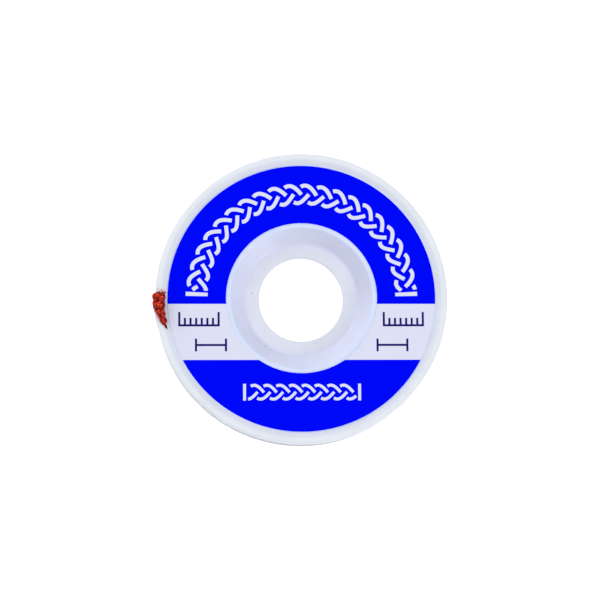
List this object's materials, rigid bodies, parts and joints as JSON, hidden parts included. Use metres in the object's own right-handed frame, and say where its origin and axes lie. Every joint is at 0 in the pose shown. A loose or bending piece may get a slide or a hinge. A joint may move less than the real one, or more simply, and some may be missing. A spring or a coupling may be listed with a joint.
{
  "type": "desoldering braid spool",
  "caption": "Flat woven copper braid wound on a white plastic spool, its free end brought up through a slit beside a ring label.",
  "frame": {"origin": "where the spool's axis meets the plane of the back rim that it lies on", "axes": "+Z along the spool's axis, out of the labelled front; +Y towards the top of the label as the picture shows it; the free end of the braid is at -X"},
  "size_m": [0.0556, 0.055, 0.0103],
  "materials": {
    "spool_plastic": "moulded white plastic, satin gloss",
    "copper_braid": null,
    "label_film": "printed sticker, strong blue with a white band, light gloss"
  },
  "bodies": {
    "root": {"spool": "spool_plastic", "braid": "copper_braid", "label": "label_film"}
  },
  "joints": []
}
